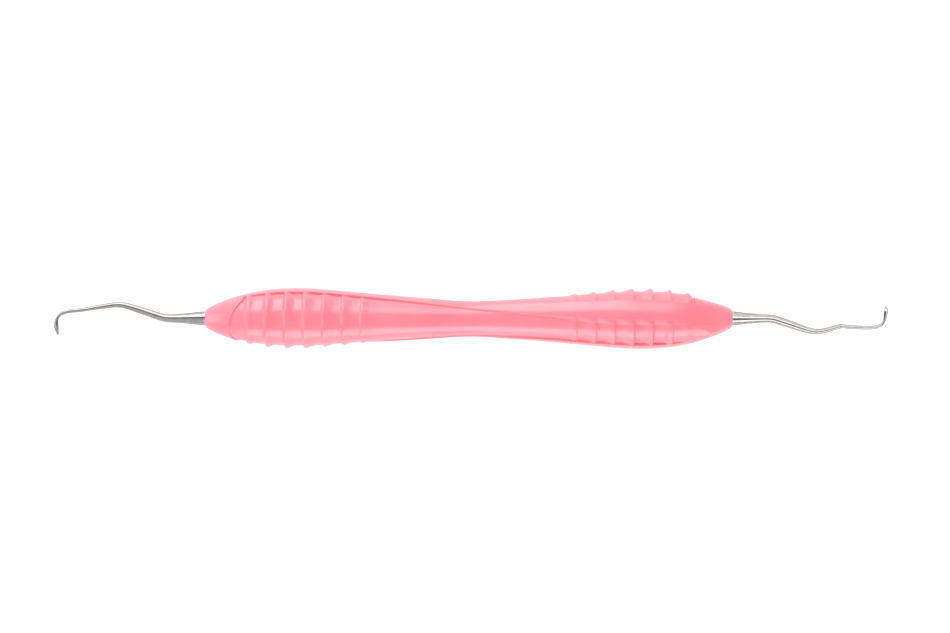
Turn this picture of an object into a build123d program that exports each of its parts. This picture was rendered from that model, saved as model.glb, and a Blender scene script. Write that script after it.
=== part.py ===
from build123d import *
import math
import os

os.makedirs("parts", exist_ok=True)

# A double-ended dental hand instrument, in millimetres. +X runs along the handle, +Z is up as it
# lies on a tray, and the origin is on the handle's axis, halfway between its two mouths.
# Angles round the handle are counted from +Z towards +Y.

# grip sleeve, outside
handle_length = 110.6
waist_diameter = 7.72
swell_diameter = 12.80
swell_from_mouth = 18.7
mouth_diameter = 3.50
# (share of the way from waist to swell, share of the rise)
waist_curve = ((0.0, 0.0), (0.20, 0.16), (0.46, 0.43), (0.66, 0.69), (0.87, 0.94), (1.0, 1.0))
# (share of the way from swell to mouth, share of the drop)
nose_curve = ((0.0, 0.0), (0.22, 0.035), (0.42, 0.15), (0.60, 0.31), (0.78, 0.53), (0.93, 0.80), (1.0, 1.0))

# recessed panels between the two smooth helical bands
panel_from_mouth = 5.1
panel_depth = 0.68
panel_depth_at_waist = 0.18
panel_depth_rise = 0.9
panel_depth_at_end = 0.20
twist_axis_angle = 50.0
narrow_band_middle = 30.5
narrow_band_swing = 33.0
narrow_band_shift = 1.9
narrow_band_pitch = 18.0
broad_band_middle = -106.0
broad_band_swing = 42.0
broad_band_shift = -18.0
broad_band_pitch = 20.0
band_sections = 9
band_overrun = 1.0

# ribs that stand on the panel floors
rib_count = 7
rib_pitch = 4.0
outer_rib_from_mouth = 9.2
inner_rib_height = 0.22
rib_height_step = 0.07
rib_tallest = 0.56
rib_crest = 0.45
rib_steep_flank = 0.40
inner_rib_ramp = 2.1
rib_ramp_step = 0.16

# steel core
tube_diameter = 6.0
tube_wall = 0.5

# end plugs, pressed into the tube
plug_taper_length = 7.4
plug_spigot_length = 8.0
plug_neck_diameter = 2.6
plug_neck_length = 0.9
rim_diameter = 3.12
rim_width = 0.32
tang_diameter = 1.7
tang_length = 14.0

# working ends
cone_diameter = 2.95
cone_tip_diameter = 1.72
cone_length = 7.2
shank_root_depth = 0.6
# centre line from the end of the cone to the blade's heel: (along from the rim, across, diameter)
left_shank = (
    (8.1, 0.06, 1.68),
    (11.6, 1.20, 1.56),
    (16.1, 2.64, 1.34),
    (17.6, 2.90, 1.24),
    (19.6, 2.78, 1.10),
    (23.6, 2.12, 0.92),
    (26.0, 1.74, 0.84),
    (28.4, 1.53, 0.80),
)
# the blade from its heel to its toe: (along from the rim, across, height along Z, thickness)
left_blade = (
    (29.55, 1.24, 0.76, 0.76),
    (30.45, 0.60, 0.72, 0.72),
    (30.86, 0.00, 0.70, 0.74),
    (31.02, -0.70, 0.72, 0.84),
    (31.04, -1.40, 0.70, 0.92),
    (30.98, -2.10, 0.66, 0.90),
    (30.80, -2.80, 0.58, 0.68),
    (30.66, -3.40, 0.40, 0.36),
)
right_shank = (
    (8.2, -0.06, 1.68),
    (12.0, -1.22, 1.58),
    (14.8, -2.18, 1.42),
    (17.3, -2.74, 1.20),
    (19.2, -2.52, 1.08),
    (22.0, -1.80, 0.96),
    (24.4, -1.74, 0.84),
    (28.2, -1.92, 0.80),
    (29.5, -1.84, 0.77),
)
right_blade = (
    (30.60, -1.62, 0.74, 0.74),
    (31.45, -1.12, 0.76, 0.72),
    (31.85, -0.42, 0.72, 0.70),
    (31.98, 0.45, 0.70, 0.76),
    (32.02, 1.30, 0.66, 0.88),
    (32.02, 1.95, 0.56, 0.70),
    (32.02, 2.55, 0.36, 0.30),
)
face_share = 0.25
back_shoulder = 0.36
back_shoulder_drop = 0.62

half_handle = handle_length / 2
swell_place = half_handle - swell_from_mouth
panel_end = half_handle - panel_from_mouth
inner_rib = half_handle - outer_rib_from_mouth - (rib_count - 1) * rib_pitch
rim_face = half_handle + rim_width
tube_radius = tube_diameter / 2
tube_bore_radius = tube_radius - tube_wall
plug_neck_start = half_handle - plug_neck_length
tube_end = plug_neck_start - plug_taper_length


def along_curve(curve, start, end, start_radius, end_radius):
    """Spots (along, radius) of a curve given as shares of a length and of a change of radius."""
    return [
        (start + share * (end - start), start_radius + rise * (end_radius - start_radius))
        for share, rise in curve
    ]


waist_radius = waist_diameter / 2
swell_radius = swell_diameter / 2
mouth_radius = mouth_diameter / 2
waist_side = along_curve(waist_curve, 0, swell_place, waist_radius, swell_radius)
nose_side = along_curve(nose_curve, swell_place, half_handle, swell_radius, mouth_radius)
half_outline = waist_side + nose_side[1:]


def straight_between(points, x):
    """The radius at x on the straight line between the two neighbouring points."""
    for (x0, r0), (x1, r1) in zip(points, points[1:]):
        if x <= x1:
            break
    return r0 + (r1 - r0) * (x - x0) / (x1 - x0)


def recess(x):
    """How far the panel floor lies under the smooth bands, at a distance from the waist."""
    if x < swell_place:
        return panel_depth_at_waist + (panel_depth - panel_depth_at_waist) * (x / swell_place) ** panel_depth_rise
    return panel_depth + (panel_depth_at_end - panel_depth) * ((x - swell_place) / (panel_end - swell_place)) ** 2


def floor_radius(x):
    """The panel floor's radius at a distance from the waist."""
    return straight_between(half_outline, x) - recess(x)


def both_halves(points):
    """A right-hand outline and its mirror image, from left to right through the middle."""
    return [(-x, r) for x, r in reversed(points) if x > 0] + points


def turned(points):
    """The solid of revolution under a smooth outline, about the handle's axis."""
    top = Spline(*points)
    ends = Polyline(points[-1], (points[-1][0], 0), (points[0][0], 0), points[0])
    return revolve(make_face([top, ends]), Axis.X)


def ring_about_axis(points):
    """The solid of revolution of a closed outline in (along, radius), about the handle's axis."""
    return revolve(make_face(Polyline(*points, close=True)), Axis.X)


def narrow_band_low(x):
    return narrow_band_middle - narrow_band_swing * math.tanh((x - narrow_band_shift) / narrow_band_pitch)


def narrow_band_high(x):
    return 2 * twist_axis_angle - narrow_band_low(-x)


def broad_band_high(x):
    return broad_band_middle + broad_band_swing * math.tanh((x - broad_band_shift) / broad_band_pitch)


def broad_band_low(x):
    return 2 * twist_axis_angle - broad_band_high(-x) - 360


def spot_round_axis(x, radius, angle):
    """The point at a distance from the axis, at an angle from +Z towards +Y."""
    turn = math.radians(angle)
    return Vector(x, radius * math.sin(turn), radius * math.cos(turn))


def band_wedge(low_edge, high_edge, reach):
    """A twisting wedge from the axis outwards, between two edges that wind along the handle."""
    sections = []
    for index in range(band_sections):
        x = reach * (2 * index / (band_sections - 1) - 1)
        low = low_edge(x)
        high = high_edge(x)
        far = swell_diameter * 0.75
        middle = (low + high) / 2
        corners = [
            Vector(x, 0, 0),
            spot_round_axis(x, far, low),
            spot_round_axis(x, far, middle),
            spot_round_axis(x, far, high),
        ]
        sections.append(make_face(Polyline(*corners, close=True)))
    return loft(sections)


def rib_side():
    """The right half's outline over its ribs, from the inner rib's ramp to the panel's end."""
    outline = []
    for index in range(rib_count):
        x = inner_rib + index * rib_pitch
        height = min(inner_rib_height + index * rib_height_step, rib_tallest)
        crest_start = x - rib_crest / 2
        crest_end = x + rib_crest / 2
        ramp_foot = crest_start - inner_rib_ramp + index * rib_ramp_step
        steep_foot = crest_end + rib_steep_flank
        outline.append((ramp_foot, floor_radius(ramp_foot)))
        outline.append((crest_start, floor_radius(x) + height))
        outline.append((crest_end, floor_radius(x) + height))
        outline.append((steep_foot, floor_radius(steep_foot)))
    outline.append((panel_end, floor_radius(panel_end)))
    return outline


def make_ribbed_core():
    """The panels' floor all round the handle, with its ribs, as one solid of revolution."""
    right = rib_side()
    left = [(-x, r) for x, r in reversed(right)]
    waist = [(x, floor_radius(x)) for x, _ in waist_side if x < right[0][0] - rib_pitch / 4]
    neck = Spline(left[-1], *both_halves(waist), right[0])
    ends = Polyline(right[-1], (panel_end, 0), (-panel_end, 0), left[0])
    return revolve(make_face([Polyline(*left), neck, Polyline(*right), ends]), Axis.X)


def make_sleeve():
    """Smooth noses and two helical bands over a ribbed core, cored out for the tube and the plugs."""
    smooth = turned(both_halves(half_outline))
    reach = panel_end + band_overrun
    sleeve = make_ribbed_core()
    sleeve += smooth & band_wedge(narrow_band_low, narrow_band_high, reach)
    sleeve += smooth & band_wedge(broad_band_low, broad_band_high, reach)
    nose_block = Box(panel_from_mouth, swell_diameter, swell_diameter)
    for side in (-1, 1):
        place = side * (panel_end + half_handle) / 2
        sleeve += smooth & Pos(place, 0, 0) * nose_block
    return sleeve - make_core_space()


def make_core_space():
    """What the sleeve is moulded over: the tube, the plugs' tapers and their necks."""
    outline = [
        (-half_handle, 0),
        (-half_handle, plug_neck_diameter / 2),
        (-plug_neck_start, plug_neck_diameter / 2),
        (-tube_end, tube_radius),
        (tube_end, tube_radius),
        (plug_neck_start, plug_neck_diameter / 2),
        (half_handle, plug_neck_diameter / 2),
        (half_handle, 0),
    ]
    return ring_about_axis(outline)


def make_tube():
    """The thin-walled core tube that stiffens the handle from end to end."""
    outline = [
        (-tube_end, tube_bore_radius),
        (-tube_end, tube_radius),
        (tube_end, tube_radius),
        (tube_end, tube_bore_radius),
    ]
    return ring_about_axis(outline)


def make_plug(side):
    """A turned plug: spigot in the tube, taper under the sleeve's nose, and a rim at the mouth."""
    tang_radius = tang_diameter / 2
    outline = [
        (tube_end - plug_spigot_length, tang_radius),
        (tube_end - plug_spigot_length, tube_bore_radius),
        (tube_end, tube_bore_radius),
        (tube_end, tube_radius),
        (plug_neck_start, plug_neck_diameter / 2),
        (half_handle, plug_neck_diameter / 2),
        (half_handle, rim_diameter / 2),
        (rim_face, rim_diameter / 2),
        (rim_face, tang_radius),
    ]
    return ring_about_axis([(side * along, radius) for along, radius in outline])


def frame_at(places, index):
    """The plane across a route at one of its places, with the instrument's +Z as its own X."""
    before = places[max(index - 1, 0)]
    after = places[min(index + 1, len(places) - 1)]
    heading = Vector(*after) - Vector(*before)
    return Plane(origin=places[index], x_dir=(0, 0, 1), z_dir=heading)


def make_working_end(side, shank, blade):
    """One piece of steel: tang, cone, bent tapering shank, and a hooked half-round blade."""
    tang = ring_about_axis(
        [
            (side * (rim_face - tang_length), 0),
            (side * (rim_face - tang_length), tang_diameter / 2),
            (side * rim_face, tang_diameter / 2),
            (side * rim_face, cone_diameter / 2),
            (side * (rim_face + cone_length), cone_tip_diameter / 2),
            (side * (rim_face + cone_length), 0),
        ]
    )
    route = [(cone_length - shank_root_depth, 0, cone_tip_diameter)] + list(shank)
    route += [(along, across, thickness) for along, across, _, thickness in blade[:2]]
    places = [(side * (rim_face + along), across, 0) for along, across, _ in route]
    rings = [
        frame_at(places, index) * Circle(spot[2] / 2)
        for index, spot in enumerate(route)
    ]
    heel = len(route) - 2
    blade_places = [(side * (rim_face + along), across, 0) for along, across, _, _ in blade]
    tips = [places[heel - 1]] + blade_places
    sections = []
    for index, (_, _, height, thickness) in enumerate(blade):
        sections.append(frame_at(tips, index + 1) * half_round(height, thickness))
    return tang + loft(rings) + loft(sections)


def half_round(height, thickness):
    """A blade's section: a flat face towards the handle and a rounded back away from it."""
    face_at = thickness * face_share
    back_at = -thickness / 2
    shoulder_at = face_at + (back_at - face_at) * back_shoulder_drop
    flat = Line((-height / 2, face_at), (height / 2, face_at))
    back = Spline(
        (height / 2, face_at),
        (height * back_shoulder, shoulder_at),
        (0, back_at),
        (-height * back_shoulder, shoulder_at),
        (-height / 2, face_at),
    )
    return make_face([flat, back])


parts = {
    "grip_sleeve": make_sleeve(),
    "core_tube": make_tube(),
    "end_plug_left": make_plug(-1),
    "end_plug_right": make_plug(1),
    "working_end_left": make_working_end(-1, left_shank, left_blade),
    "working_end_right": make_working_end(1, right_shank, right_blade),
}
for name, solid in parts.items():
    solid.label = name
    export_step(solid, "parts/" + name + ".step")
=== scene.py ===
import math

import bpy
import numpy as np
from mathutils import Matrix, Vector


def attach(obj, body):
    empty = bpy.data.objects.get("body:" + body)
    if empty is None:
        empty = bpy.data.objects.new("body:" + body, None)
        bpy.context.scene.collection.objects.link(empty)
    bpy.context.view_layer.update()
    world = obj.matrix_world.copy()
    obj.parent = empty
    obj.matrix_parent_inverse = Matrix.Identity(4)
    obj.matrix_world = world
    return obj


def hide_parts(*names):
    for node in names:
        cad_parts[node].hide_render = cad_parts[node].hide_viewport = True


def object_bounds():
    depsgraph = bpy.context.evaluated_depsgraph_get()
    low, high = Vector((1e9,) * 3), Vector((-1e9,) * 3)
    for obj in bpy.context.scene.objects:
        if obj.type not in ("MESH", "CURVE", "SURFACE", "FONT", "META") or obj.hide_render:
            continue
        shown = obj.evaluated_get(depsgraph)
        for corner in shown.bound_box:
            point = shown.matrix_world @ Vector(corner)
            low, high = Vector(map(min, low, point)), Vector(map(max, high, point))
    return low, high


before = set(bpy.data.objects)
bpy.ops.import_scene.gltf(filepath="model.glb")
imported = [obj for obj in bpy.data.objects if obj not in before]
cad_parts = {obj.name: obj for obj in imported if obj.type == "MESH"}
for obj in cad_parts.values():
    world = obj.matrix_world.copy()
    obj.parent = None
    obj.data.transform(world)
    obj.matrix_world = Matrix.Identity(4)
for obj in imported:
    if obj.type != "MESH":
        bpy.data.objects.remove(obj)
cad_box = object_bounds()
mm = 0.001

# Core tube and end plugs. A drawn stainless tube stiffens the handle, and a turned stainless plug is
# pressed into each end of it. Only the plugs' polished rims show, as a thin bright ring at each mouth.
ring_stretch = 40
dark_mark = (0.86, 0.86, 0.87)


def turned_steel(name, colour, roughness, ring_scale):
    """Stainless steel off the lathe: rings of fine tool marks along X under a bright finish."""
    steel = bpy.data.materials.new(name)
    steel.use_nodes = True
    nodes = steel.node_tree.nodes
    links = steel.node_tree.links
    shader = nodes["Principled BSDF"]
    shader.inputs["Metallic"].default_value = 1.0
    where = nodes.new("ShaderNodeTexCoord")
    stretch = nodes.new("ShaderNodeMapping")
    round_scale = ring_scale / ring_stretch
    stretch.inputs["Scale"].default_value = (ring_scale, round_scale, round_scale)
    marks = nodes.new("ShaderNodeTexNoise")
    marks.inputs["Scale"].default_value = 1.0
    marks.inputs["Detail"].default_value = 6.0
    tint = nodes.new("ShaderNodeValToRGB")
    tint.color_ramp.elements[0].position = 0.3
    tint.color_ramp.elements[0].color = (*(full * dark for full, dark in zip(colour, dark_mark)), 1)
    tint.color_ramp.elements[1].position = 0.7
    tint.color_ramp.elements[1].color = (*colour, 1)
    rough = nodes.new("ShaderNodeMapRange")
    rough.inputs["To Min"].default_value = roughness * 0.8
    rough.inputs["To Max"].default_value = roughness * 1.25
    bump = nodes.new("ShaderNodeBump")
    bump.inputs["Strength"].default_value = 0.25
    bump.inputs["Distance"].default_value = 0.004 * mm
    links.new(where.outputs["Object"], stretch.inputs["Vector"])
    links.new(stretch.outputs["Vector"], marks.inputs["Vector"])
    links.new(marks.outputs["Fac"], tint.inputs["Fac"])
    links.new(marks.outputs["Fac"], rough.inputs["Value"])
    links.new(marks.outputs["Fac"], bump.inputs["Height"])
    links.new(tint.outputs["Color"], shader.inputs["Base Color"])
    links.new(rough.outputs["Result"], shader.inputs["Roughness"])
    links.new(bump.outputs["Normal"], shader.inputs["Normal"])
    return steel


tube_steel = turned_steel("drawn_tube_steel", (0.60, 0.59, 0.58), 0.32, 900)
rim_steel = turned_steel("polished_rim_steel", (0.55, 0.54, 0.54), 0.16, 6000)
for node, steel in (("core_tube", tube_steel), ("end_plug_left", rim_steel), ("end_plug_right", rim_steel)):
    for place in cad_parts[node].material_slots:
        place.material = steel

# Grip sleeve. One moulding of satin pink medical silicone over the core. Two smooth bands wind round
# it, and between them lie two recessed panels, each crossed by seven ribs near either end.
# The right half is the left half turned half round about a line square to the handle.
outline_along = (0.0, 1.6, 3.4, 5.3, 7.1, 9.0, 12.8, 16.5, 20.3, 24.1, 27.9, 31.7, 34.3, 36.8,
                 39.6, 42.3, 44.9, 47.4, 49.9, 51.8, 53.1, 54.1, 54.7, 55.1, 55.3)
outline_radius = (3.86, 3.89, 3.97, 4.08, 4.21, 4.34, 4.61, 4.91, 5.24, 5.60, 5.93, 6.25, 6.38, 6.40,
                  6.29, 6.05, 5.64, 5.05, 4.26, 3.59, 3.04, 2.55, 2.20, 1.88, 1.60)
half_handle = 55.3
neck_start = 54.4
neck_radius = 1.3
tube_radius = 3.0
tube_end = 47.0
turn_line = 50.0
narrow_band_middle = 30.5
narrow_band_swing = 33.0
narrow_band_centre = 1.9
narrow_band_spread = 18.0
broad_band_middle = -106.0
broad_band_swing = 42.0
broad_band_centre = -18.0
broad_band_spread = 20.0
wall_width = 4.0
wall_narrowing = 1.6
wall_narrowing_reach = 30.0
gentle_wall_extra = 11.0
gentle_wall_start = 14.0
gentle_wall_reach = 14.0
rib_places = (22.2, 26.2, 30.2, 34.2, 38.15, 42.15, 46.1)
rib_heights = (0.24, 0.36, 0.45, 0.53, 0.60, 0.56, 0.47)
rib_ramps = (1.1, 1.35, 1.7, 1.8, 1.4, 0.95, 0.85)
rib_crest = 0.40
rib_flank = 0.45
rib_sag = 0.12
rib_crown = 0.06
rib_below_band = 0.03
waist_depth = 0.21
swell_depth = 0.68
swell_place = 36.6
deepening_power = 0.9
wide_panel_fade = 0.36
wide_panel_fade_reach = 13.6
wide_panel_fade_power = 1.3
narrow_panel_fade_reach = 12.5
arch_place = 50.0
arch_reach = 3.2
arch_power = 2.5
arch_angle = -35.0
arch_nearest = 47.15
arch_wall = 0.12
# Shape of the painted crease shade: its shift along the far narrow wall, the panel depth at which it is
# full, and its strength across the arch.
crease_to_foot = 2.2
crease_full_depth = 0.25
arch_crease = 2.4


def smooth_through(places, values, at):
    """A smooth curve through points: on each span a cubic whose slope at a point is that of the line
    between its two neighbours."""
    places = np.asarray(places, float)
    values = np.asarray(values, float)
    slopes = np.gradient(values, places)
    span = np.clip(np.searchsorted(places, at, side="right") - 1, 0, len(places) - 2)
    width = places[span + 1] - places[span]
    t = (np.asarray(at) - places[span]) / width
    start = values[span] * (1 + 2 * t) * (1 - t) ** 2 + slopes[span] * width * t * (1 - t) ** 2
    end = values[span + 1] * t * t * (3 - 2 * t) - slopes[span + 1] * width * t * t * (1 - t)
    return start + end


def ease(t):
    """Nought below 0, one above 1, and three t squared less two t cubed between."""
    t = np.clip(t, 0, 1)
    return t * t * (3 - 2 * t)


def steps(*zones):
    """Shares along a chain of zones, each cut into equal cells: (zone number, share of that zone)."""
    number = np.concatenate([np.full(cells, index) for index, cells in enumerate(zones)])
    share = np.concatenate([np.arange(cells) / cells for cells in zones])
    return number, share


def narrow_band_low(x):
    """The narrow band's lower edge, in degrees, winds by a tanh along the handle."""
    return narrow_band_middle - narrow_band_swing * np.tanh((x - narrow_band_centre) / narrow_band_spread)


def broad_band_high(x):
    """The broad band's upper edge, in degrees, winds the other way by a tanh."""
    return broad_band_middle + broad_band_swing * np.tanh((x - broad_band_centre) / broad_band_spread)


def arch_at(angle):
    """How far out the wide panel's end lies: furthest at the arch's middle, nearer by a power of the
    angle from there."""
    off = np.abs((angle - arch_angle + 180) % 360 - 180)
    return np.maximum(arch_place - arch_reach * (off / 90) ** arch_power, arch_nearest)


def rib_rise(out, ramps):
    """Height of the ribs along the handle: a ramp up that sags a little, a short crest crowned by the
    square of the distance from its middle, and a steep eased fall. The higher of two ribs counts."""
    rise = np.zeros_like(out)
    for place, height, ramp in zip(rib_places, rib_heights, ramps):
        up = np.clip((out - place + rib_crest / 2 + ramp) / ramp, 0, 1)
        up = up - rib_sag * up * (1 - up) * 4 * up
        down = 1 - ease((out - place - rib_crest / 2) / rib_flank)
        crown = 1 - rib_crown * np.clip(np.abs(out - place) / (rib_crest / 2), 0, 1) ** 2
        rise = np.maximum(rise, height * up * down * crown)
    return rise


def half_sleeve():
    """Rows of (distance from the waist, angle, radius, painted crease shade) of the left half's outer skin.

    The columns follow the band edges: half a narrow band, wall, narrow panel, wall, the broad band in
    two halves, wall, wide panel, wall, half a narrow band. The rows follow the ribs' valleys, ramps,
    crests and flanks, then the arch at the wide panel's end, the nose and the mouth. The radius is the
    smooth outline less the panel's depth, which the ribs make shallower. As the arch and the edges
    depend on each other, angles and distances are worked out in turn until they settle."""
    marks = [0.0]
    cells = []
    waist_cells = 34
    valley_cells = 4
    for place, ramp in zip(rib_places, rib_ramps):
        foot = place - rib_crest / 2
        marks += [foot - ramp, foot, foot + rib_crest, foot + rib_crest + rib_flank]
        cells += [valley_cells if cells else waist_cells, 5, 3, 6]
    cells += [8, 6, 26, 10]
    row_zone, row_share = steps(*cells)
    row_zone = np.append(row_zone, len(cells) - 1)[:, None]
    row_share = np.append(row_share, 1.0)[:, None]
    column_zone, column_share = steps(7, 6, 44, 6, 13, 13, 6, 44, 6, 7)
    far_narrow_wall = 3
    first_wide_zone = 6
    into_panel = np.array([0, 0, 1, 1, 0, 0, 0, 1, 1, 0, 0])
    wall = into_panel[column_zone] + (into_panel[column_zone + 1] - into_panel[column_zone]) * column_share
    wall = ease(wall)[None, :]
    wide = (column_zone >= first_wide_zone)[None, :]
    angle = np.zeros((len(row_zone), len(column_zone)))
    settling_rounds = 4
    for _ in range(settling_rounds):
        arch = arch_at(angle)
        whole = np.ones_like(angle)
        ends = [arch - arch_wall, arch + arch_wall, neck_start * whole, half_handle * whole]
        knots = np.stack([mark * whole for mark in marks] + ends)
        at = np.broadcast_to(row_zone, angle.shape)[None]
        low = np.take_along_axis(knots, at, 0)[0]
        high = np.take_along_axis(knots, at + 1, 0)[0]
        out = low + (high - low) * row_share
        near = narrow_band_low(-out)
        far = 2 * turn_line - narrow_band_low(out)
        broad_start = 2 * turn_line - broad_band_high(out)
        broad_end = broad_band_high(-out) + 360
        middle = (near + far) / 2
        steep = wall_width - wall_narrowing * ease(out / wall_narrowing_reach)
        gentle = steep + gentle_wall_extra * ease((out - gentle_wall_start) / gentle_wall_reach)
        edges = [middle, far, far + gentle, broad_start - steep, broad_start,
                 (broad_start + broad_end) / 2, broad_end, broad_end + steep,
                 near + 360 - steep, near + 360, middle + 360]
        edges = np.stack(edges)
        across = np.broadcast_to(column_zone[None, :], angle.shape)[None]
        low_edge = np.take_along_axis(edges, across, 0)[0]
        high_edge = np.take_along_axis(edges, across + 1, 0)[0]
        angle = low_edge + (high_edge - low_edge) * column_share[None, :]
    smooth = smooth_through(outline_along, outline_radius, out)
    deepening = np.clip(out / swell_place, 0, 1) ** deepening_power
    to_swell = waist_depth + (swell_depth - waist_depth) * deepening
    past_swell = np.clip(out - swell_place, 0, None)
    fade = (past_swell / wide_panel_fade_reach) ** wide_panel_fade_power
    wide_depth = to_swell - wide_panel_fade * fade
    past_arch = ease((out - arch_at(angle) + arch_wall) / (2 * arch_wall))
    wide_depth = wide_depth * (1 - past_arch)
    narrow_depth = to_swell * (1 - ease(past_swell / narrow_panel_fade_reach))
    depth = np.where(wide, wide_depth, narrow_depth)
    ribs = np.minimum(rib_rise(out, rib_ramps), depth - rib_below_band)
    ribs = np.clip(ribs, 0, None)
    # Painted shade: this crease mask is highest midway up each panel wall and across the arch at the wide
    # panel's end. The material darkens the colour there as if shade fell in the creases, and it also raises
    # the roughness there.
    rim = np.clip(wall * np.where(column_zone == far_narrow_wall, crease_to_foot, 1.0)[None, :], 0, 1)
    crease_shade = 4 * rim * (1 - rim) * ease(depth / crease_full_depth)
    crease_shade = np.maximum(crease_shade, np.where(wide, arch_crease * past_arch * (1 - past_arch) * wall, 0))
    return out, angle, smooth - (depth - ribs) * wall, crease_shade


def closed_skin(name, points, wrap_rows):
    """A mesh from a grid of points whose columns close on themselves. The rows close too if they wrap,
    or else each end is closed by a fan to a point at the middle of its row."""
    rows, columns = points.shape[:2]
    number = np.arange(rows * columns).reshape(rows, columns)
    if wrap_rows:
        number = np.vstack([number, number[:1]])
    number = np.hstack([number, number[:, :1]])
    quads = np.stack([number[:-1, :-1], number[1:, :-1], number[1:, 1:], number[:-1, 1:]], -1).reshape(-1, 4)
    places = points.reshape(-1, 3)
    faces = quads.tolist()
    if not wrap_rows:
        first, last = len(places), len(places) + 1
        places = np.vstack([places, points[0].mean(0), points[-1].mean(0)])
        ring = number[0]
        faces += [(first, int(a), int(b)) for a, b in zip(ring[:-1], ring[1:])]
        ring = number[-1]
        faces += [(last, int(b), int(a)) for a, b in zip(ring[:-1], ring[1:])]
    mesh = bpy.data.meshes.new(name)
    mesh.from_pydata(places.tolist(), [], faces)
    mesh.update()
    corners = places[quads]
    swept = np.einsum("ij,ij->i", corners[:, 0], np.cross(corners[:, 1], corners[:, 2]))
    swept += np.einsum("ij,ij->i", corners[:, 0], np.cross(corners[:, 2], corners[:, 3]))
    if swept.sum() < 0:
        mesh.flip_normals()
    mesh.shade_smooth()
    piece = bpy.data.objects.new(name, mesh)
    bpy.context.scene.collection.objects.link(piece)
    return piece


def round_handle(along, angle, radius):
    """Points at a distance along the handle, an angle from +Z towards +Y, and a radius."""
    turn = np.radians(angle)
    return np.stack([along, radius * np.sin(turn), radius * np.cos(turn)], -1) * mm


out, angle, radius, crease_shade = half_sleeve()
left = round_handle(-out[::-1], angle[::-1], radius[::-1])
turned = np.roll(np.flip(np.arange(angle.shape[1])), 1)
right = round_handle(out, 2 * turn_line - angle[:, turned], radius[:, turned])
bore_ring = 20
bore_along = np.array([half_handle, neck_start, tube_end, bore_ring,
                       -bore_ring, -tube_end, -neck_start, -half_handle])
bore_radius = np.array([neck_radius, neck_radius, tube_radius, tube_radius, tube_radius, tube_radius,
                        neck_radius, neck_radius])
bore_angle = np.broadcast_to(2 * turn_line - angle[-1, turned], (len(bore_along), angle.shape[1]))
bore = round_handle(bore_along[:, None] * np.ones((1, angle.shape[1])), bore_angle,
                    bore_radius[:, None] * np.ones((1, angle.shape[1])))
sleeve = closed_skin("grip_sleeve_silicone", np.concatenate([left, right[1:], bore]), True)
# Painted crease shade for both halves of the skin, and none inside the bore.
crease_shades = np.concatenate([crease_shade[::-1], crease_shade[1:, turned], np.zeros_like(bore_angle)])
sleeve.data.attributes.new("crease_shade", "FLOAT", "POINT").data.foreach_set("value", crease_shades.ravel())


def satin_silicone():
    """Pink silicone: a little light passes under the skin, and the mould leaves a fine even texture. Along
    the panel walls and the arch the colour is darkened by painted shade from the crease mask, which also
    raises the roughness there.
    """
    silicone = bpy.data.materials.new("satin_pink_silicone")
    silicone.use_nodes = True
    nodes = silicone.node_tree.nodes
    links = silicone.node_tree.links
    shader = nodes["Principled BSDF"]
    shader.inputs["IOR"].default_value = 1.5
    shader.inputs["Subsurface Weight"].default_value = 0.12
    shader.inputs["Subsurface Radius"].default_value = (1.0, 0.35, 0.3)
    shader.inputs["Subsurface Scale"].default_value = 0.6 * mm
    where = nodes.new("ShaderNodeTexCoord")
    clouds = nodes.new("ShaderNodeTexNoise")
    clouds.inputs["Scale"].default_value = 160
    clouds.inputs["Detail"].default_value = 3
    tint = nodes.new("ShaderNodeValToRGB")
    tint.color_ramp.elements[0].position = 0.35
    tint.color_ramp.elements[0].color = (0.89, 0.193, 0.243, 1)
    tint.color_ramp.elements[1].position = 0.65
    tint.color_ramp.elements[1].color = (0.91, 0.213, 0.263, 1)
    # Painted shade: the crease mask mixes the colour towards a darker pink along the panel walls and the
    # arch, where shade would fall in the creases.
    crease_shade = nodes.new("ShaderNodeAttribute")
    crease_shade.attribute_name = "crease_shade"
    shade = nodes.new("ShaderNodeMix")
    shade.data_type = "RGBA"
    shade.inputs["B"].default_value = (0.88, 0.165, 0.21, 1)
    dull = nodes.new("ShaderNodeMix")
    dull.inputs["B"].default_value = 0.55
    grain = nodes.new("ShaderNodeTexNoise")
    grain.inputs["Scale"].default_value = 5200
    grain.inputs["Detail"].default_value = 2
    rough = nodes.new("ShaderNodeMapRange")
    rough.inputs["To Min"].default_value = 0.20
    rough.inputs["To Max"].default_value = 0.28
    bump = nodes.new("ShaderNodeBump")
    bump.inputs["Strength"].default_value = 0.12
    bump.inputs["Distance"].default_value = 0.01 * mm
    links.new(where.outputs["Object"], clouds.inputs["Vector"])
    links.new(where.outputs["Object"], grain.inputs["Vector"])
    links.new(clouds.outputs["Fac"], tint.inputs["Fac"])
    links.new(clouds.outputs["Fac"], rough.inputs["Value"])
    links.new(grain.outputs["Fac"], bump.inputs["Height"])
    links.new(crease_shade.outputs["Fac"], shade.inputs["Factor"])
    links.new(tint.outputs["Color"], shade.inputs["A"])
    links.new(shade.outputs["Result"], shader.inputs["Base Color"])
    links.new(crease_shade.outputs["Fac"], dull.inputs["Factor"])
    links.new(rough.outputs["Result"], dull.inputs["A"])
    links.new(dull.outputs["Result"], shader.inputs["Roughness"])
    links.new(bump.outputs["Normal"], shader.inputs["Normal"])
    return silicone


sleeve.data.materials.append(satin_silicone())
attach(sleeve, "root")
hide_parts("grip_sleeve")

# Working ends. Each is one piece of hardened stainless steel: a hidden tang, a cone that seats on the
# plug's rim, a tapering shank bent twice, a ground terminal shank past a small step, and a hooked
# blade with a flat face towards the handle and a rounded back. The two ends differ as a pair does.
rim_face = 55.62
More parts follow.
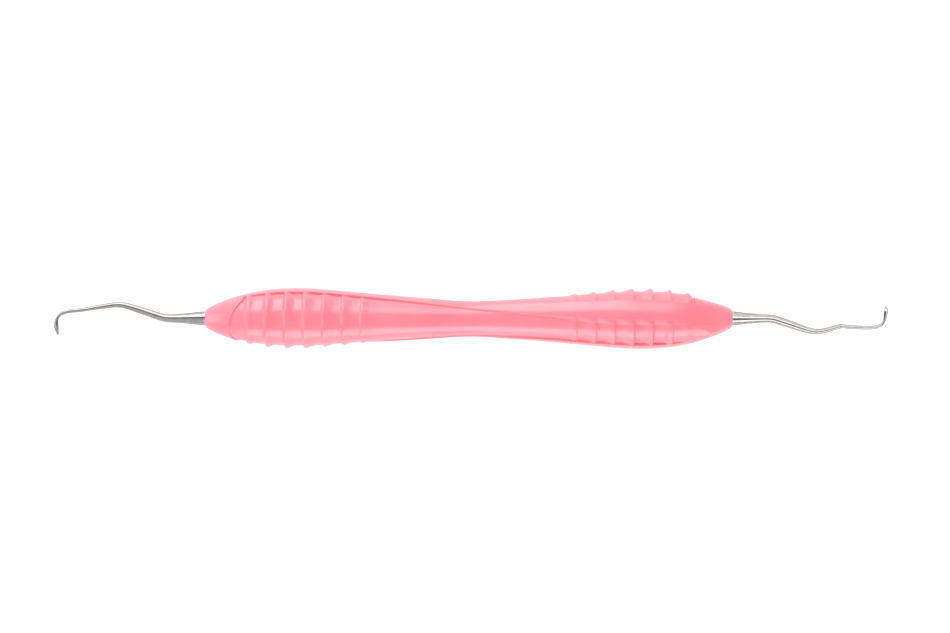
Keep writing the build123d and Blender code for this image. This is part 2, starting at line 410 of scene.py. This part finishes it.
# Each place gives (distance from the rim, across, thickness seen from above, height, blade share).
left_end = (
    (0.0, 0.0, 2.97, 2.97, 0), (0.4, 0.0, 2.92, 2.92, 0), (2.1, 0.0, 2.56, 2.56, 0),
    (3.8, 0.0, 2.19, 2.19, 0), (5.5, 0.0, 1.90, 1.90, 0), (7.1, 0.01, 1.75, 1.75, 0),
    (8.2, 0.10, 1.69, 1.69, 0), (9.2, 0.36, 1.65, 1.65, 0), (11.6, 1.14, 1.56, 1.56, 0),
    (14.6, 2.13, 1.43, 1.43, 0), (16.2, 2.60, 1.33, 1.33, 0), (17.4, 2.84, 1.24, 1.24, 0),
    (18.6, 2.84, 1.15, 1.15, 0), (20.2, 2.65, 1.07, 1.07, 0), (22.4, 2.31, 0.97, 0.97, 0),
    (23.7, 2.10, 0.92, 0.92, 0), (24.0, 2.05, 0.82, 0.84, 0), (24.3, 2.00, 0.84, 0.84, 0),
    (26.0, 1.74, 0.86, 0.84, 0), (27.8, 1.56, 0.84, 0.80, 0), (28.9, 1.38, 0.80, 0.78, 0),
    (29.75, 1.08, 0.76, 0.76, 0), (30.40, 0.56, 0.68, 0.72, 0.1), (30.82, -0.10, 0.66, 0.72, 0.4),
    (30.98, -0.70, 0.80, 0.76, 0.9), (31.02, -1.30, 0.90, 0.80, 1), (31.00, -1.85, 0.92, 0.80, 1),
    (30.88, -2.40, 0.78, 0.72, 1), (30.76, -2.90, 0.60, 0.56, 1), (30.68, -3.30, 0.36, 0.36, 1),
    (30.64, -3.48, 0.14, 0.14, 1),
)
right_end = (
    (0.0, 0.0, 2.97, 2.97, 0), (0.4, 0.0, 2.90, 2.90, 0), (2.4, 0.0, 2.42, 2.42, 0),
    (4.3, 0.0, 2.08, 2.08, 0), (6.0, 0.0, 1.80, 1.80, 0), (7.3, -0.01, 1.72, 1.72, 0),
    (8.4, -0.14, 1.70, 1.70, 0), (9.6, -0.50, 1.68, 1.68, 0), (12.0, -1.28, 1.58, 1.58, 0),
    (14.6, -2.16, 1.42, 1.42, 0), (16.2, -2.60, 1.28, 1.28, 0), (17.4, -2.76, 1.18, 1.18, 0),
    (18.6, -2.66, 1.11, 1.11, 0), (20.4, -2.20, 1.03, 1.03, 0), (22.0, -1.76, 0.98, 0.98, 0),
    (22.7, -1.60, 0.96, 0.96, 0), (23.0, -1.58, 0.78, 0.84, 0), (23.3, -1.66, 0.84, 0.84, 0),
    (25.2, -1.82, 0.84, 0.82, 0), (27.6, -1.94, 0.82, 0.80, 0), (29.2, -1.90, 0.80, 0.78, 0),
    (30.2, -1.74, 0.76, 0.76, 0), (31.0, -1.32, 0.70, 0.72, 0.1), (31.52, -0.66, 0.66, 0.70, 0.3),
    (31.78, 0.10, 0.68, 0.72, 0.7), (31.90, 0.80, 0.78, 0.78, 1), (32.00, 1.40, 0.88, 0.80, 1),
    (32.02, 1.80, 0.86, 0.76, 1), (31.99, 2.15, 0.62, 0.62, 1), (31.95, 2.45, 0.34, 0.40, 1),
    (31.92, 2.66, 0.12, 0.12, 1),
)
tang_length = 14.0
tang_radius = 0.85
tang_chamfer = 0.2
tang_tip_share = 0.8
tang_gap = 0.02
ring_count = 330
ring_points = 44
face_cut = 0.35


def bent_bar(side, places):
    """Rings of points carried along the end's centre line, after the tang's rings. A ring is an oval,
    or, by the blade share, one whose face is cut off flat on the inner side of the hook: its cosine
    is held at the cut, then shifted and stretched so that it runs from -1 to 1 again."""
    along, across, thick, high, blade = np.array(places).T
    run = np.concatenate([[0], np.cumsum(np.hypot(np.diff(along), np.diff(across)))])
    at = np.linspace(0, run[-1], ring_count)
    x = side * (rim_face + smooth_through(run, along, at))
    y = smooth_through(run, across, at)
    heading = np.arctan2(np.gradient(y, at), np.gradient(x, at))
    thick = smooth_through(run, thick, at)[:, None]
    high = smooth_through(run, high, at)[:, None]
    share = np.clip(smooth_through(run, blade, at), 0, 1)[:, None]
    turn = np.linspace(0, 2 * np.pi, ring_points, endpoint=False)[None, :]
    cut = (np.minimum(np.cos(turn), face_cut) + (1 - face_cut) / 2) / ((1 + face_cut) / 2)
    inward = (np.cos(turn) * (1 - share) + cut * share) / 2
    inward = inward * thick
    points = np.stack([
        x[:, None] - np.sin(heading)[:, None] * inward,
        y[:, None] + np.cos(heading)[:, None] * inward,
        np.sin(turn) / 2 * high,
    ], -1)
    tang_x = side * (rim_face + np.array([-tang_length, -tang_length + tang_chamfer, -tang_gap]))
    tang_size = np.array([tang_radius * tang_tip_share, tang_radius, tang_radius])
    ring = np.stack([0 * turn[0], np.cos(turn[0]) * side, np.sin(turn[0])], -1)
    tang = tang_size[:, None, None] * ring[None]
    tang[:, :, 0] += tang_x[:, None]
    return np.concatenate([tang, points]) * mm


def honed_steel(name, shine, roughness, marks):
    """Instrument steel: a polish drawn along the shank, with fine uneven lines and soft cloudiness."""
    steel = bpy.data.materials.new(name)
    steel.use_nodes = True
    nodes = steel.node_tree.nodes
    links = steel.node_tree.links
    shader = nodes["Principled BSDF"]
    shader.inputs["Metallic"].default_value = 1.0
    shader.inputs["Specular Tint"].default_value = (0.55, 0.55, 0.55, 1)
    where = nodes.new("ShaderNodeTexCoord")
    stretch = nodes.new("ShaderNodeMapping")
    stretch.inputs["Scale"].default_value = (260, 5200, 5200)
    lines = nodes.new("ShaderNodeTexNoise")
    lines.inputs["Scale"].default_value = 1.0
    lines.inputs["Detail"].default_value = 5
    clouds = nodes.new("ShaderNodeTexNoise")
    clouds.inputs["Scale"].default_value = 900
    clouds.inputs["Detail"].default_value = 4
    tint = nodes.new("ShaderNodeValToRGB")
    tint.color_ramp.elements[0].position = 0.3
    tint.color_ramp.elements[0].color = (0.42 * shine, 0.405 * shine, 0.40 * shine, 1)
    tint.color_ramp.elements[1].position = 0.7
    tint.color_ramp.elements[1].color = (0.50 * shine, 0.488 * shine, 0.482 * shine, 1)
    rough = nodes.new("ShaderNodeMapRange")
    rough.inputs["To Min"].default_value = roughness * 0.7
    rough.inputs["To Max"].default_value = roughness * 1.3
    bump = nodes.new("ShaderNodeBump")
    bump.inputs["Strength"].default_value = marks
    bump.inputs["Distance"].default_value = 0.006 * mm
    links.new(where.outputs["Object"], stretch.inputs["Vector"])
    links.new(where.outputs["Object"], clouds.inputs["Vector"])
    links.new(stretch.outputs["Vector"], lines.inputs["Vector"])
    links.new(clouds.outputs["Fac"], tint.inputs["Fac"])
    links.new(lines.outputs["Fac"], rough.inputs["Value"])
    links.new(lines.outputs["Fac"], bump.inputs["Height"])
    links.new(tint.outputs["Color"], shader.inputs["Base Color"])
    links.new(rough.outputs["Result"], shader.inputs["Roughness"])
    links.new(bump.outputs["Normal"], shader.inputs["Normal"])
    return steel


sharp_angle = 38
ends = []
for name, side, places, shine, roughness, marks in (
    ("left", -1, left_end, 0.85, 0.22, 0.9),
    ("right", 1, right_end, 0.85, 0.14, 0.3),
):
    end = closed_skin("working_end_" + name + "_steel", bent_bar(side, places), False)
    end.data.set_sharp_from_angle(angle=math.radians(sharp_angle))
    end.data.materials.append(honed_steel(name + "_end_steel", shine, roughness, marks))
    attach(end, "root")
    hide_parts("working_end_" + name)
    ends.append(end)

# Table, light and camera. A pale table that glows, and a camera straight above. The handle
# with the table, the left end and the right end each have softboxes of their own, and a plain room,
# lighter low down than overhead, surrounds them all.
table_width = 4.0
table_gap = 0.02 * mm
bpy.ops.mesh.primitive_plane_add(size=table_width, location=(0, 0, cad_box[0][2] - table_gap))
table = bpy.context.object
table.name = "white_table"
table_white = bpy.data.materials.new("table_white")
table_white.use_nodes = True
table_shader = table_white.node_tree.nodes["Principled BSDF"]
table_shader.inputs["Base Color"].default_value = (0.30, 0.30, 0.30, 1)
table_shader.inputs["Roughness"].default_value = 0.9
table_shader.inputs["Specular IOR Level"].default_value = 0.1
table_shader.inputs["Emission Color"].default_value = (1, 1, 1, 1)
table_shader.inputs["Emission Strength"].default_value = 0.84
table.data.materials.append(table_white)


def softbox(name, place, aim, wide, tall, radiance, lit):
    """A rectangular area light at a place, facing a point, with its long side square to its tilt."""
    light = bpy.data.lights.new(name, "AREA")
    light.shape = "RECTANGLE"
    light.size = wide
    light.size_y = tall
    light.energy = radiance * math.pi * wide * tall
    lamp = bpy.data.objects.new(name, light)
    lamp.location = place
    lamp.rotation_euler = (Vector(aim) - Vector(place)).to_track_quat("-Z", "Y").to_euler()
    lamp.visible_camera = False
    lamp.light_linking.receiver_collection = lit
    bpy.context.scene.collection.objects.link(lamp)


handle_set = bpy.data.collections.new("lit_with_the_handle")
handle_set.objects.link(sleeve)
handle_set.objects.link(table)
softbox("softbox_above_left", (-0.18, 0.53, 0.29), (-0.18, 0, 0), 0.36, 0.60, 5.3, handle_set)
softbox("softbox_above_right", (0.13, 0.424, 0.424), (0.13, 0, 0), 0.26, 0.37, 3.4, handle_set)
softbox("softbox_left", (-0.54, 0.0, 0.26), (0, 0, 0), 0.5, 0.30, 3.4, handle_set)
softbox("softbox_right", (0.54, 0.0, 0.26), (0, 0, 0), 0.5, 0.30, 0.8, handle_set)
softbox("softbox_low", (0.04, -0.40, 0.135), (0.04, 0, 0), 0.56, 0.26, 4.4, handle_set)

left_end_set = bpy.data.collections.new("lit_with_the_left_end")
left_end_set.objects.link(ends[0])
left_end_set.objects.link(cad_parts["end_plug_left"])
softbox("panel_above_left_end", (-0.1, 0.418, 0.293), (-0.1, 0, 0), 1.2, 0.46, 2.4, left_end_set)
softbox("panel_near_left_end", (-0.1, -0.34, 0.495), (-0.1, 0, 0), 1.2, 0.74, 0.6, left_end_set)
softbox("panel_beyond_left_end", (-0.6, 0, 0.4), (-0.08, 0, 0), 0.4, 0.4, 0.9, left_end_set)

right_end_set = bpy.data.collections.new("lit_with_the_right_end")
right_end_set.objects.link(ends[1])
right_end_set.objects.link(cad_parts["end_plug_right"])
softbox("panel_above_right_end", (0.08, 0.205, 0.564), (0.08, 0, 0), 1.2, 0.32, 2.4, right_end_set)
softbox("panel_far_right_end", (0.08, 0.53, 0.27), (0.08, 0, 0), 1.2, 0.56, 0.95, right_end_set)
softbox("panel_near_right_end", (0.08, -0.46, 0.386), (0.08, 0, 0), 1.2, 0.36, 2.4, right_end_set)
softbox("panel_beyond_right_end", (0.6, 0, 0.4), (0.08, 0, 0), 0.4, 0.4, 1.2, right_end_set)

room_overhead = 0.26
room_at_floor = 0.75
world = bpy.data.worlds.new("studio")
bpy.context.scene.world = world
world.use_nodes = True
room = world.node_tree.nodes
join = world.node_tree.links
direction = room.new("ShaderNodeTexCoord")
direction_parts = room.new("ShaderNodeSeparateXYZ")
lighter_low = room.new("ShaderNodeMapRange")
lighter_low.interpolation_type = "SMOOTHSTEP"
lighter_low.inputs["To Min"].default_value = room_at_floor
lighter_low.inputs["To Max"].default_value = room_overhead
room["Background"].inputs["Color"].default_value = (1, 1, 1, 1)
join.new(direction.outputs["Generated"], direction_parts.inputs["Vector"])
join.new(direction_parts.outputs["Z"], lighter_low.inputs["Value"])
join.new(lighter_low.outputs["Result"], room["Background"].inputs["Strength"])

view_width = 199.5 * mm
view_centre = (1.31 * mm, 0.40 * mm)
lens = bpy.data.cameras.new("camera")
lens.lens = 120
lens.sensor_width = 36
lens.clip_start = 0.01
camera = bpy.data.objects.new("camera", lens)
camera.location = (*view_centre, view_width * lens.lens / lens.sensor_width)
bpy.context.scene.collection.objects.link(camera)
bpy.context.scene.camera = camera
bpy.context.scene.view_settings.view_transform = "Standard"
